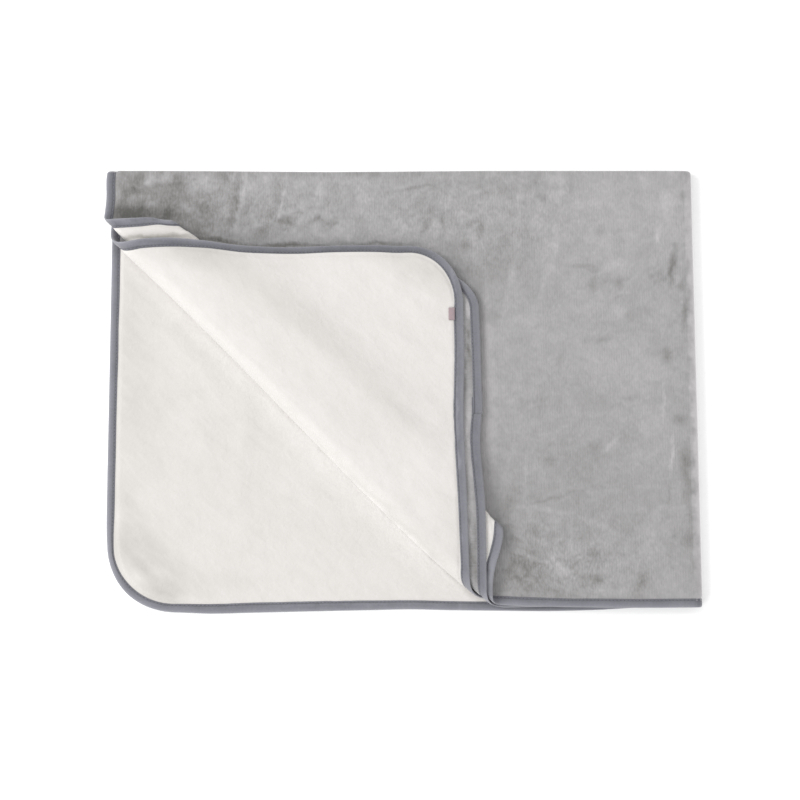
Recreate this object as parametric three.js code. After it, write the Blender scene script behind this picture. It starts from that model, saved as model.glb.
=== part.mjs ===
// A baby blanket of two fabrics, folded in quarters with one corner turned back.
//
// The blanket is described flat, by u along its length, v along its width and w through its
// thickness, and every point of it is then carried through the folds in the order in which
// they were made: over the top fold, over the right fold, the uppermost corner tucked back on
// itself, and the corners of the three upper layers rolled back together on a diagonal.
// Each fold bends the space that the cloth lies in, so the layers stay apart by themselves.

import * as THREE from 'three';

// Driving dimensions, in millimetres
const LENGTH = 1000;
const WIDTH = 750;
const CORNER_RADIUS = 53;
const THICKNESS = 2.9;
const LAYER_GAP = 0.5;
const PIECE_GAP = 0.3;
const VELOUR_THICKNESS = 1.1;

// The folded outline, as it lies
const FOLDED_LENGTH = 510.4;
const FOLDED_DEPTH = 378.6;
const RIGHT_FOLD_SLANT = 10.3;

// The tape over the edge
const TAPE_WIDTH = 7.7;
const TAPE_WALL = 0.45;
const TAPE_SHOULDER = 0.7;
const TAPE_POCKET = 0.9;
const PANEL_INSET = 1.5;
const PRESSED_THICKNESS = 0.55;
const LIP_LINE = 8;
const PILE_LINE = 9.5;

// The label, on the white side by the edge of the turned-back corner
const LABEL_AT = 53;
const LABEL_LENGTH = 10;
const LABEL_REACH = 6;
const LABEL_THICKNESS = 1;

// The lines that the folds follow, where they cross the left and the bottom edge
const ROLL_START = new THREE.Vector2(-254.7, 151.8);
const ROLL_END = new THREE.Vector2(84.7, -184.0);
const TUCK_AT_START = 44;
const TUCK_AT_END = 54;
const ROLL_CLEARANCE = 0.5;

// How much cloth each layer spends on the roll, and how wide its roll is for its height,
// along the roll and at its lower end, where the roll is pressed flatter
const ROLLS = {
  first: { spent: 10, width: 0.62, widthAtEnd: 0.55 },
  second: { spent: 22, width: 0.88, widthAtEnd: 0.6 },
  third: { spent: 31.7, width: 1, widthAtEnd: 0.64 },
};
const ROLL_END_ZONE = 76;

// How far the turned-back cloth sinks, by its distance from the roll
const SINK = [
  { from: 56, by: 0 },
  { from: 76, by: 1.8 },
  { from: 104, by: 6 },
  { from: 130, by: 7.3 },
];

// A long low swell in the layers that lie on the first one
const SWELL_HEIGHT = 0.7;
const SWELL_LENGTH = 420;

// How far each edge runs outside the plain rectangle, from place to place along it.
// The flat blanket's near and left edges are the lowest layer's.
const NEAR_EDGE = [
  { at: 0, out: 3.3 },
  { at: 150, out: 3.1 },
  { at: 285, out: 1.6 },
  { at: 450, out: -1 },
  { at: 500, out: 0.8 },
  { at: 560, out: 0 },
  { at: 668, out: -3.1 },
  { at: 700, out: -4.3 },
  { at: 716, out: -0.7 },
  { at: 736, out: 5.5 },
  { at: 760, out: 2 },
  { at: 800, out: -3 },
  { at: 1000, out: -2 },
];
const FAR_EDGE = [
  { at: 0, out: -7 },
  { at: 89, out: -7.3 },
  { at: 150, out: -9.3 },
  { at: 217, out: -8.4 },
  { at: 282, out: -7.9 },
  { at: 500, out: -5 },
  { at: 650, out: -1.5 },
  { at: 767, out: 0.3 },
  { at: 793, out: -0.8 },
  { at: 825, out: -2.5 },
  { at: 860, out: 0 },
  { at: 1000, out: -1 },
];
const LEFT_EDGE = [
  { at: 0, out: 9.5 },
  { at: 42, out: 9.5 },
  { at: 200, out: 6.5 },
  { at: 326, out: 4 },
  { at: 375, out: 3.5 },
  { at: 413, out: 3.5 },
  { at: 453, out: 9 },
  { at: 490, out: 12 },
  { at: 520, out: 9.6 },
  { at: 558, out: 3.2 },
  { at: 592, out: 1.8 },
  { at: 635, out: 2.4 },
  { at: 670, out: 3.6 },
  { at: 750, out: 1.5 },
];
const RIGHT_EDGE = [
  { at: 0, out: 9.2 },
  { at: 270, out: 9.2 },
  { at: 300, out: 12.4 },
  { at: 330, out: 11 },
  { at: 350, out: 9.2 },
  { at: 375, out: 8 },
  { at: 413, out: -9 },
  { at: 486, out: -20 },
  { at: 750, out: -26 },
];
const EDGE_REACH = 90;

// How finely the cloth is divided
const LEFT_HALF_STEPS = 9;
const UPPER_HALF_STEPS = 6;
const FOLD_STEPS = 6;
const TUCK_STEPS = 6;
const ROLL_STEPS = 6;
const CORNER_STEPS = 7;
const LABEL_STEPS = 2;

// Nearer than this to a line, a point of the net counts as on it
const SAME_PLACE = 0.1;
const HALVINGS = 40;
const NEARLY_FULLEST = 0.9;

const COLOURS = {
  velour: { color: 0x9d9c9b, roughness: 0.85, metalness: 0 },
  sherpa: { color: 0xe9e6e1, roughness: 0.95, metalness: 0 },
  tape: { color: 0x7d7f8c, roughness: 0.8, metalness: 0 },
  label: { color: 0xb29a9e, roughness: 0.8, metalness: 0 },
};

// Sizes worked out from the ones above
const HALF = THICKNESS / 2;
const PITCH = THICKNESS + LAYER_GAP;
const HALF_LENGTH = LENGTH / 2;
const HALF_WIDTH = WIDTH / 2;

const TOP_FOLD = { centre: PITCH - LAYER_GAP / 2 };
TOP_FOLD.arc = Math.PI * PITCH / 2;
TOP_FOLD.start = HALF_WIDTH - TOP_FOLD.arc / 2;
TOP_FOLD.line = FOLDED_DEPTH / 2 - TOP_FOLD.centre;

const RIGHT_FOLD = { centre: 2 * PITCH - LAYER_GAP / 2 };
RIGHT_FOLD.arc = Math.PI * PITCH;
RIGHT_FOLD.start = HALF_LENGTH - RIGHT_FOLD.arc / 2;
RIGHT_FOLD.line = FOLDED_LENGTH / 2 - RIGHT_FOLD.centre;

const TUCK = { centre: 4 * PITCH - LAYER_GAP / 2, arc: Math.PI * PITCH / 2 };

const ROLL_AXIS_HEIGHT = 5 * PITCH - LAYER_GAP + ROLL_CLEARANCE;
const ROLL_LENGTH = ROLL_START.distanceTo(ROLL_END);
const ALONG_ROLL = ROLL_END.clone().sub(ROLL_START).normalize();
const ACROSS_ROLL = new THREE.Vector2(ALONG_ROLL.y, -ALONG_ROLL.x);

// A smooth value between the rows of a table, by a cubic through them
function smoothOut(table, at) {
  const last = table.length - 1;
  if (at <= table[0].at) return table[0].out;
  if (at >= table[last].at) return table[last].out;
  const row = table.findIndex((entry) => entry.at > at) - 1;
  const [before, here] = [table[Math.max(row - 1, 0)], table[row]];
  const [next, after] = [table[row + 1], table[Math.min(row + 2, last)]];
  const step = next.at - here.at;
  const t = (at - here.at) / step;
  const slopeHere = (next.out - before.out) / (next.at - before.at);
  const slopeNext = (after.out - here.out) / (after.at - here.at);
  return here.out * (1 + 2 * t) * (1 - t) ** 2 + slopeHere * step * t * (1 - t) ** 2
    + next.out * t * t * (3 - 2 * t) - slopeNext * step * t * t * (1 - t);
}

// 1 at an edge, falling smoothly to 0 where the edge's unevenness ends
function nearEdge(distance) {
  const t = THREE.MathUtils.clamp(distance / EDGE_REACH, 0, 1);
  return (1 - t) ** 2 * (1 + 2 * t);
}

// The flat blanket with its uneven edges
function unevenFlat(u, v) {
  const left = smoothOut(LEFT_EDGE, v) * nearEdge(u);
  const right = smoothOut(RIGHT_EDGE, v) * nearEdge(LENGTH - u);
  const near = smoothOut(NEAR_EDGE, u) * nearEdge(v);
  const far = smoothOut(FAR_EDGE, u) * nearEdge(WIDTH - v);
  return { u: u - left + right, v: v - near + far };
}

// A fold: a point at a distance along the cloth and at a height below the fold's centre
// goes round a half circle and back
function bend(along, height, fold) {
  const past = along - fold.start;
  const radius = fold.centre - height;
  if (past <= 0) return { along: fold.line + past, height };
  if (past >= fold.arc) {
    return { along: fold.line - (past - fold.arc), height: fold.centre + radius };
  }
  const angle = Math.PI * past / fold.arc;
  return {
    along: fold.line + radius * Math.sin(angle),
    height: fold.centre - radius * Math.cos(angle),
  };
}

// Which of the four layers a flat point is in, the uppermost being the first
function layerOf(u, v) {
  if (v < HALF_WIDTH) return u < HALF_LENGTH ? 'fourth' : 'first';
  return u < HALF_LENGTH ? 'third' : 'second';
}

// The distance past the roll's line, towards the turned corner, and the distance along it
function rollPlace(point) {
  const from = new THREE.Vector2(point.x, point.y).sub(ROLL_START);
  return { across: from.dot(ACROSS_ROLL), along: from.dot(ALONG_ROLL) };
}

function setRollPlace(point, across, along) {
  point.x = ROLL_START.x + across * ACROSS_ROLL.x + along * ALONG_ROLL.x;
  point.y = ROLL_START.y + across * ACROSS_ROLL.y + along * ALONG_ROLL.y;
}

// The tuck's line, which isn't quite parallel to the roll's
const TUCK_LINE = (() => {
  const slope = (TUCK_AT_END - TUCK_AT_START) / ROLL_LENGTH;
  const start = ROLL_START.clone().addScaledVector(ACROSS_ROLL, TUCK_AT_START);
  const along = ALONG_ROLL.clone().addScaledVector(ACROSS_ROLL, slope).normalize();
  return { start, across: new THREE.Vector2(along.y, -along.x) };
})();

function pastTuck(point) {
  return new THREE.Vector2(point.x, point.y).sub(TUCK_LINE.start).dot(TUCK_LINE.across);
}

// The uppermost corner folded over on top of its own layer
function tuckCorner(point) {
  const past = pastTuck(point);
  if (past <= 0) return;
  const radius = TUCK.centre - point.z;
  const angle = Math.PI * Math.min(past / TUCK.arc, 1);
  const reach = past < TUCK.arc ? radius * Math.sin(angle) : TUCK.arc - past;
  point.z = TUCK.centre - radius * Math.cos(angle);
  point.x += (reach - past) * TUCK_LINE.across.x;
  point.y += (reach - past) * TUCK_LINE.across.y;
}

// The three upper layers rolled back together, each on its own radius
function rollBack(point, layer) {
  const { across, along } = rollPlace(point);
  if (across <= 0) return;
  const roll = ROLLS[layer];
  const nearEnd = THREE.MathUtils.smoothstep(along, ROLL_LENGTH - ROLL_END_ZONE, ROLL_LENGTH);
  const width = THREE.MathUtils.lerp(roll.width, roll.widthAtEnd, nearEnd);
  const radius = ROLL_AXIS_HEIGHT - point.z;
  const angle = Math.PI * Math.min(across / roll.spent, 1);
  const beyond = Math.max(across - roll.spent, 0);
  point.z = ROLL_AXIS_HEIGHT - radius * Math.cos(angle);
  if (layer !== 'first') point.z -= sinkAt(beyond);
  setRollPlace(point, width * radius * Math.sin(angle) - beyond, along);
}

// How far the turned-back cloth has sunk at a distance from the roll
function sinkAt(distance) {
  const row = SINK.findIndex((entry) => entry.from > distance);
  if (row === 0) return 0;
  if (row < 0) return SINK[SINK.length - 1].by;
  const [here, next] = [SINK[row - 1], SINK[row]];
  return THREE.MathUtils.mapLinear(distance, here.from, next.from, here.by, next.by);
}

// The layers on the first one swell a little, and the right fold slants outwards as it comes down
function settle(point) {
  const wave = (at) => 0.5 + 0.5 * Math.cos(2 * Math.PI * at / SWELL_LENGTH);
  const share = THREE.MathUtils.clamp((point.z - THICKNESS) / (3 * PITCH - THICKNESS), 0, 1);
  point.z += SWELL_HEIGHT * share * (wave(point.x) + wave(point.y)) / 2;
  const up = 0.5 + point.y / FOLDED_DEPTH;
  const rightwards = 0.5 + point.x / FOLDED_LENGTH;
  point.x -= RIGHT_FOLD_SLANT * up * rightwards;
}

// A flat point of the blanket, at a height from its middle surface, where it lies when folded
function folded(u, v, w) {
  const flat = unevenFlat(u, v);
  const rows = bend(flat.v, HALF + w, TOP_FOLD);
  const columns = bend(flat.u, rows.height, RIGHT_FOLD);
  const point = new THREE.Vector3(columns.along, rows.along, columns.height);
  const layer = layerOf(u, v);
  if (layer === 'first') tuckCorner(point);
  if (layer !== 'fourth') rollBack(point, layer);
  settle(point);
  return point;
}

// The flat blanket divided into convex cells that share their corners
const net = { points: [], cells: [], cuts: new Map() };

function addPoint(u, v) {
  net.points.push({ u, v });
  return net.points.length - 1;
}

// The blanket's outline, or a line at an even distance inside it
function outlineAt(inset) {
  const radius = CORNER_RADIUS - inset;
  const corners = [
    { u: LENGTH - CORNER_RADIUS, v: WIDTH - CORNER_RADIUS, from: 0 },
    { u: CORNER_RADIUS, v: WIDTH - CORNER_RADIUS, from: 1 },
    { u: CORNER_RADIUS, v: CORNER_RADIUS, from: 2 },
    { u: LENGTH - CORNER_RADIUS, v: CORNER_RADIUS, from: 3 },
  ];
  return corners.flatMap((corner) => Array.from({ length: CORNER_STEPS + 1 }, (_, step) => {
    const angle = Math.PI / 2 * (corner.from + step / CORNER_STEPS);
    return addPoint(corner.u + radius * Math.cos(angle), corner.v + radius * Math.sin(angle));
  }));
}

// A ring of cells between two such lines
function addRing(outer, inner) {
  outer.forEach((point, index) => {
    const next = (index + 1) % outer.length;
    net.cells.push([point, outer[next], inner[next], inner[index]]);
  });
}

function startCells() {
  const outline = outlineAt(0);
  const lip = outlineAt(LIP_LINE);
  const pile = outlineAt(PILE_LINE);
  addRing(outline, lip);
  addRing(lip, pile);
  net.cells.push(pile);
}

// The point between two of the net's points where a value crosses zero
function crossing(value, from, to) {
  const [low, high] = from < to ? [from, to] : [to, from];
  const key = `${low} ${high}`;
  if (net.cuts.has(key)) return net.cuts.get(key);
  const [start, end] = [net.points[low], net.points[high]];
  const at = (t) => [start.u + (end.u - start.u) * t, start.v + (end.v - start.v) * t];
  const startSign = Math.sign(value(start.u, start.v));
  let [near, far] = [0, 1];
  for (let step = 0; step < HALVINGS; step += 1) {
    const middle = (near + far) / 2;
    if (Math.sign(value(...at(middle))) === startSign) near = middle;
    else far = middle;
  }
  const made = addPoint(...at((near + far) / 2));
  net.cuts.set(key, made);
  return made;
}

// Cuts the cells that pass a test along the line where a value is zero
function cut(value, test = () => true) {
  net.cuts.clear();
  const signs = net.points.map(({ u, v }) => {
    const here = value(u, v);
    return Math.abs(here) < SAME_PLACE ? 0 : Math.sign(here);
  });
  net.cells = net.cells.flatMap((cell) => {
    const { u, v } = middleOf(cell);
    return test(u, v) ? cutCell(cell, value, signs) : [cell];
  });
}

function cutCell(cell, value, signs) {
  const ring = [];
  cell.forEach((point, index) => {
    const next = cell[(index + 1) % cell.length];
    ring.push({ point, sign: signs[point] });
    if (signs[point] * signs[next] < 0) ring.push({ point: crossing(value, point, next), sign: 0 });
  });
  const pieces = [1, -1].map((side) => ring.filter(({ sign }) => sign !== -side));
  const whole = pieces.some((piece) => piece.every(({ sign }) => sign === 0) || piece.length < 3);
  if (whole) return [ring.map(({ point }) => point)];
  return pieces.map((piece) => piece.map(({ point }) => point));
}

function middleOf(cell) {
  const sum = (key) => cell.reduce((total, point) => total + net.points[point][key], 0);
  return { u: sum('u') / cell.length, v: sum('v') / cell.length };
}

function between(start, end, steps) {
  return Array.from({ length: steps + 1 }, (_, step) => start + (end - start) * step / steps);
}

// Lines across the whole blanket: evenly between the corners' ends, and close together on a fold
function cutAcross(key, size, halfSteps, fold) {
  const half = between(CORNER_RADIUS, fold.start, halfSteps);
  const otherHalf = half.map((at) => size - at);
  const round = between(fold.start, fold.start + fold.arc, FOLD_STEPS).slice(1, -1);
  [...half, ...round, ...otherHalf].forEach((at) => {
    cut((u, v) => (key === 'u' ? u : v) - at);
  });
}

// Where a flat point lies once the blanket is folded in quarters, before any corner is turned
function quartered(u, v) {
  const flat = unevenFlat(u, v);
  const rows = bend(flat.v, HALF, TOP_FOLD);
  const columns = bend(flat.u, rows.height, RIGHT_FOLD);
  return new THREE.Vector3(columns.along, rows.along, columns.height);
}

function beyondRoll(u, v) {
  const point = quartered(u, v);
  if (layerOf(u, v) === 'first') tuckCorner(point);
  return rollPlace(point).across;
}

// Lines where the cloth of a layer bends: round the roll, and where it sinks beyond it
function cutRoll(layer, test = () => true) {
  const { spent } = ROLLS[layer];
  const round = between(0, spent, ROLL_STEPS);
  const sinks = layer === 'first' ? [] : SINK.map(({ from }) => spent + from);
  const inLayer = (u, v) => layerOf(u, v) === layer && test(u, v);
  [...round, ...sinks].forEach((at) => cut((u, v) => beyondRoll(u, v) - at, inLayer));
}

function divideBlanket() {
  startCells();
  cutAcross('u', LENGTH, LEFT_HALF_STEPS, RIGHT_FOLD);
  cutAcross('v', WIDTH, UPPER_HALF_STEPS, TOP_FOLD);
  cutRoll('third');
  cutRoll('second');
  const tucked = (u, v) => pastTuck(quartered(u, v));
  const inFirst = (u, v) => layerOf(u, v) === 'first';
  between(0, TUCK.arc, TUCK_STEPS).forEach((at) => cut((u, v) => tucked(u, v) - at, inFirst));
  cutRoll('first', (u, v) => tucked(u, v) < 0);
  cutRoll('first', (u, v) => tucked(u, v) > TUCK.arc);
}

// How far inside the outline a flat point is, and the way out from it
function edgeAt(u, v) {
  const past = {
    u: u - THREE.MathUtils.clamp(u, CORNER_RADIUS, LENGTH - CORNER_RADIUS),
    v: v - THREE.MathUtils.clamp(v, CORNER_RADIUS, WIDTH - CORNER_RADIUS),
  };
  const reach = Math.hypot(past.u, past.v);
  if (reach === 0) return { inset: CORNER_RADIUS, out: { u: 0, v: 0 } };
  return { inset: CORNER_RADIUS - reach, out: { u: past.u / reach, v: past.v / reach } };
}

// Each point of the net is on the outline, on the tape's lip, or in the pile
function zoneOf({ u, v }) {
  const { inset } = edgeAt(u, v);
  if (inset < LIP_LINE / 2) return 'outline';
  return inset < (LIP_LINE + PILE_LINE) / 2 ? 'lip' : 'pile';
}

// A cell's triangles all start at one of its corners, the one that makes the fullest triangles,
// and of equals the one furthest from the folds, so that the layers are divided alike
function trianglesOf(cell) {
  const size = (a, b, c) => {
    const [p, q, r] = [net.points[a], net.points[b], net.points[c]];
    return (q.u - p.u) * (r.v - p.v) - (r.u - p.u) * (q.v - p.v);
  };
  const fans = cell.map((start, index) => {
    const rest = [...cell.slice(index + 1), ...cell.slice(0, index)];
    const triangles = rest.slice(1).map((point, step) => [start, rest[step], point]);
    const { u, v } = net.points[start];
    return {
      triangles,
      least: Math.min(...triangles.map((triangle) => size(...triangle))),
      away: Math.abs(u - HALF_LENGTH) + Math.abs(v - HALF_WIDTH),
    };
  });
  const best = Math.max(...fans.map(({ least }) => least));
  const good = fans.filter(({ least }) => least >= best * NEARLY_FULLEST);
  return good.reduce((chosen, fan) => (fan.away > chosen.away ? fan : chosen)).triangles;
}

// The directed edges that only one of the triangles has
function rimOf(triangles) {
  const edges = new Set(triangles.flatMap(([a, b, c]) => [`${a} ${b}`, `${b} ${c}`, `${c} ${a}`]));
  const pairs = [...edges].map((edge) => edge.split(' ').map(Number));
  return pairs.filter(([a, b]) => !edges.has(`${b} ${a}`));
}

// Collects triangles whose corners are the net's points on named surfaces of one piece
function pieceBuilder(surfaces) {
  const positions = [];
  const indices = [];
  const known = new Map();
  function corner(surface, point) {
    const key = `${surface} ${point}`;
    if (!known.has(key)) {
      const { u, v } = net.points[point];
      const { inset, out } = edgeAt(u, v);
      const { height, at } = surfaces[surface](net.points[point]);
      const shift = at === undefined ? 0 : inset - at;
      known.set(key, positions.length / 3);
      positions.push(...folded(u + shift * out.u, v + shift * out.v, height).toArray());
    }
    return known.get(key);
  }
  return {
    face(surface, triangles, up) {
      triangles.forEach(([a, b, c]) => {
        const order = up ? [a, b, c] : [a, c, b];
        indices.push(...order.map((point) => corner(surface, point)));
      });
    },
    wall(upper, lower, rim, outward = true) {
      rim.forEach(([a, b]) => {
        const [from, to] = outward ? [a, b] : [b, a];
        indices.push(corner(upper, to), corner(upper, from), corner(lower, from));
        indices.push(corner(upper, to), corner(lower, from), corner(lower, to));
      });
    },
    geometry() {
      const geometry = new THREE.BufferGeometry();
      geometry.setAttribute('position', new THREE.Float32BufferAttribute(positions, 3));
      geometry.setIndex(indices);
      geometry.computeVertexNormals();
      return geometry;
    },
  };
}

function namedMesh(name, geometry, finish) {
  const mesh = new THREE.Mesh(geometry, new THREE.MeshStandardMaterial(finish));
  mesh.name = name;
  return mesh;
}

// One fabric: full in the pile, pressed flat under the tape
function panel(name, triangles, low, high, finish) {
  const surface = (heights) => (point) => {
    const zone = zoneOf(point);
    return {
      height: zone === 'pile' ? heights.full : heights.pressed,
      at: zone === 'outline' ? PANEL_INSET : undefined,
    };
  };
  const builder = pieceBuilder({ low: surface(low), high: surface(high) });
  builder.face('high', triangles, true);
  builder.face('low', triangles, false);
  builder.wall('high', 'low', rimOf(triangles));
  return namedMesh(name, builder.geometry(), finish);
}

// The tape: one strip folded over the edge, open towards the blanket
function tape(triangles) {
  const pocket = HALF - TAPE_WALL;
  const shell = (height, outlineInset) => (point) => {
    const lipInset = edgeAt(point.u, point.v).inset - (LIP_LINE - TAPE_WIDTH);
    return { height, at: zoneOf(point) === 'outline' ? outlineInset : lipInset };
  };
  const builder = pieceBuilder({
    top: shell(HALF, TAPE_SHOULDER),
    underTop: shell(pocket, TAPE_POCKET),
    nose: shell(0, 0),
    overBottom: shell(-pocket, TAPE_POCKET),
    bottom: shell(-HALF, TAPE_SHOULDER),
  });
  const rim = rimOf(triangles);
  const zone = (point) => zoneOf(net.points[point]);
  const outer = rim.filter(([a]) => zone(a) === 'outline');
  const inner = rim.filter(([a]) => zone(a) === 'lip');
  builder.face('top', triangles, true);
  builder.face('underTop', triangles, false);
  builder.face('overBottom', triangles, true);
  builder.face('bottom', triangles, false);
  builder.wall('top', 'nose', outer);
  builder.wall('nose', 'bottom', outer);
  builder.wall('underTop', 'overBottom', outer, false);
  builder.wall('top', 'underTop', inner);
  builder.wall('overBottom', 'bottom', inner);
  return namedMesh('edge_tape', builder.geometry(), COLOURS.tape);
}

// The label: a small tab on the white pile, at the tape's lip
function label() {
  const geometry = new THREE.BoxGeometry(LABEL_LENGTH, LABEL_REACH, LABEL_THICKNESS, LABEL_STEPS);
  const position = geometry.getAttribute('position');
  const centre = {
    u: LABEL_AT + LABEL_LENGTH / 2,
    v: WIDTH - LIP_LINE - PIECE_GAP - LABEL_REACH / 2,
    w: HALF + PIECE_GAP + LABEL_THICKNESS / 2,
  };
  for (let index = 0; index < position.count; index += 1) {
    const [x, y, z] = [position.getX(index), position.getY(index), position.getZ(index)];
    const point = folded(centre.u + x, centre.v + y, centre.w + z);
    position.setXYZ(index, point.x, point.y, point.z);
  }
  geometry.computeVertexNormals();
  return namedMesh('side_label', geometry, COLOURS.label);
}

divideBlanket();
const everyTriangle = net.cells.flatMap(trianglesOf);
const tapeTriangles = net.cells
  .filter((cell) => cell.some((point) => zoneOf(net.points[point]) === 'outline'))
  .flatMap(trianglesOf);

const velourTop = VELOUR_THICKNESS - HALF;
const velour = panel(
  'velour_panel',
  everyTriangle,
  { full: -HALF, pressed: -PIECE_GAP / 2 - PRESSED_THICKNESS },
  { full: velourTop, pressed: -PIECE_GAP / 2 },
  COLOURS.velour,
);
const sherpa = panel(
  'sherpa_panel',
  everyTriangle,
  { full: velourTop + PIECE_GAP, pressed: PIECE_GAP / 2 },
  { full: HALF, pressed: PIECE_GAP / 2 + PRESSED_THICKNESS },
  COLOURS.sherpa,
);

const blanket = new THREE.Group();
blanket.name = 'blanket';
blanket.add(velour, sherpa, tape(tapeTriangles), label());

// The origin is under the middle of the folded blanket
const box = new THREE.Box3().setFromObject(blanket);
const middle = box.getCenter(new THREE.Vector3());
blanket.position.set(-middle.x, -middle.y, 0);
blanket.updateMatrixWorld(true);

export default blanket;
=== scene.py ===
"""A baby blanket of two fabrics, folded in quarters with one corner turned back.

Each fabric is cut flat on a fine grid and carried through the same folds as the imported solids:
over the top fold, over the right fold, the uppermost corner tucked back on itself, and the
corners of the three upper layers rolled back together. Lengths here are in millimetres, and
the meshes are made in metres. A flat place is u along the blanket's length and v along its
width, with w the height over its middle surface, on the fleece's side above nought.
"""
import math

import bmesh
import bpy
import numpy as np
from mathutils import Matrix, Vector


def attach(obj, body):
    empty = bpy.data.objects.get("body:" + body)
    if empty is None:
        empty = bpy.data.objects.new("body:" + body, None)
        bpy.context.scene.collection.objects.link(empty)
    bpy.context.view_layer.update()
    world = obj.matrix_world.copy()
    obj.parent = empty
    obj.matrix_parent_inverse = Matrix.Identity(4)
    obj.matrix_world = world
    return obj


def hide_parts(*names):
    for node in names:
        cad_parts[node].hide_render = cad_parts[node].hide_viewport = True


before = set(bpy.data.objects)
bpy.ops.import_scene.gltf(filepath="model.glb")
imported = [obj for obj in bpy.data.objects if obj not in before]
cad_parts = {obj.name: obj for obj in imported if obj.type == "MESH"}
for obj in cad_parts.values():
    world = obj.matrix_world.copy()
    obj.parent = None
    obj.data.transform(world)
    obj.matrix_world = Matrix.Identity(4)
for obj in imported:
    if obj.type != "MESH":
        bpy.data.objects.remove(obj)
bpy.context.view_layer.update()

MM = 0.001

# The blanket, flat
LENGTH = 1000
WIDTH = 750
CORNER_RADIUS = 53
THICKNESS = 2.9
LAYER_GAP = 0.5
VELOUR_THICKNESS = 1.1
PIECE_GAP = 0.3

# The folded outline, and where the row's origin lies from its middle
FOLDED_LENGTH = 510.4
FOLDED_DEPTH = 378.6
RIGHT_FOLD_SLANT = 10.3
CENTRE_SHIFT = np.array([0.62, 0.08, 0])

# The lines that the folds follow
ROLL_START = np.array([-254.7, 151.8])
ROLL_END = np.array([84.7, -184.0])
ROLL_CLEARANCE = 0.5
TUCK_AT_START = 47
TUCK_AT_END = 57

# How far the tuck's fold draws in towards the roll at its two ends, by the place along it
TUCK_ENDS = [(0, 4), (42, 4), (62, 1.5), (72, 0), (425, 0), (436, 0), (445, 1.8), (477, 2)]
TUCK_ENDS_REACH = 9

# How much cloth each layer spends on the roll, and the width of its roll for the height, by
# the place along the roll
ROLLS = {
    "first": dict(spent=10, width=[(0, 0.62), (400, 0.62), (477, 0.55)]),
    "second": dict(spent=22, width=[
        (0, 0.88), (30, 0.82), (95, 0.73), (167, 0.73), (239, 0.8), (310, 0.88), (400, 0.88),
        (477, 0.6),
    ]),
    "third": dict(spent=31.7, width=[
        (0, 1), (30, 0.92), (95, 0.8), (167, 0.79), (239, 0.89), (310, 1), (400, 1),
        (477, 0.64),
    ]),
}

# How far the turned-back cloth sinks, by its distance from the roll
SINK = [(46, 0), (62, 1.7), (84, 5.4), (108, 7), (130, 7.3)]

# How high the upper layers swell, and how long their waves are
SWELL_HEIGHT = 0.7
SWELL_LENGTH = 420

# How far each edge runs outside the plain rectangle, by the place along it
NEAR_EDGE = [
    (0, 3.3), (50, 3.3), (80, 4.4), (113, 3.7), (150, 2.8), (182, 2.1), (217, 1.4), (251, 0.7),
    (285, 1.4), (330, 1.9), (370, 2.2), (410, 1.3), (450, -0.8), (500, -1.3), (547, -1),
    (600, -1.4), (650, -2.4), (684, -3.9), (700, -3.1), (714, 0), (726, 4), (738, 6.4),
    (752, 4.6), (766, 1.4), (800, -3), (1000, -2),
]
FAR_EDGE = [
    (0, -5), (60, -7), (89, -7.3), (150, -9.3), (217, -8.4), (282, -7.9), (500, -5),
    (650, -1.5), (767, 0.3), (793, -0.8), (825, -2.5), (860, 0), (1000, -1),
]
LEFT_EDGE = [
    (0, 7.4), (33, 7.6), (50, 8.3), (67, 9), (100, 8.6), (200, 6.5), (326, 4), (375, 3.5),
    (413, 3.5), (453, 7.4), (470, 9.6), (490, 10), (520, 7.4), (540, 4.4), (558, 2.5),
    (592, 1.3), (635, 2.4), (670, 2.2), (692, 1.3), (716, 2), (735, 3.6), (750, 5),
]
RIGHT_EDGE = [
    (0, 9.2), (262, 11), (272, 12.8), (284, 13.2), (300, 12.4), (330, 11), (350, 8.6),
    (375, 7.3), (413, -9), (486, -20), (640, -26), (697, -23.3), (720, -22), (750, -19),
]

# How far in an edge's unevenness reaches
EDGE_REACH = 90

# How far the top fold sags below its line, by the place along it
TOP_SAG = [
    (-255, 0.9), (-190, 1.1), (-130, 1.5), (-65, 2), (0, 1.6), (60, 1.1), (150, 1), (255, 1),
]

# The soft creases and ridges of the blanket as it lies, in the plan from above
CREASE_COLUMNS = ("from_x", "from_y", "to_x", "to_y", "reach", "height")
CREASES = [
    # The lower left corner, raised along its tape
    (-246, -112, -236, -146, 13, 1.3),
    (-236, -146, -204, -174, 13, 1.5),
    (-196, -150, -150, -184, 7, 0.5),
    # The roll's lower end, where it flattens
    (-4, -119, 21, -138, 4, 0.9),
    (21, -138, 42, -137, 4, 0.8),
    # The turned-back corner
    (-24, 60, 14, 32, 5, 0.8),
    (-60, 76, -8, 82, 6, 0.5),
    (-8, 92, 34, 52, 6, 0.6),
    (-30, 20, 30, -20, 6, 0.7),
    (-14, -12, 26, -46, 6, 0.8),
    (-22, -52, 20, -60, 6, 0.6),
    (-10, -80, 36, -88, 6, 0.6),
    (-40, -60, -4, -90, 7, 0.5),
    # The velour on the right
    (100, 186, 98, 110, 6, 0.5),
    (98, 110, 90, 40, 7, 0.4),
    (134, 186, 130, 110, 6, 0.5),
    (130, 110, 114, 60, 7, 0.4),
    (110, -100, 150, -108, 6, 0.35),
    (150, -108, 188, -124, 6, 0.45),
    (104, -140, 142, -156, 6, 0.8),
    (228, -30, 230, -76, 5, 0.6),
    # The velour on the top left
    (-137, 186, -147, 138, 6, 0.5),
    (-102, 186, -114, 142, 6, 0.5),
    # The lowest layer in the middle
    (-140, 4, -134, -36, 7, 0.5),
    (-134, -36, -144, -88, 7, 0.5),
    (-180, -24, -166, -60, 7, 0.4),
]

# How far the creases wander off their lines, in waves this long
CREASE_WANDER = 4
CREASE_WAVE = 38

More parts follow.
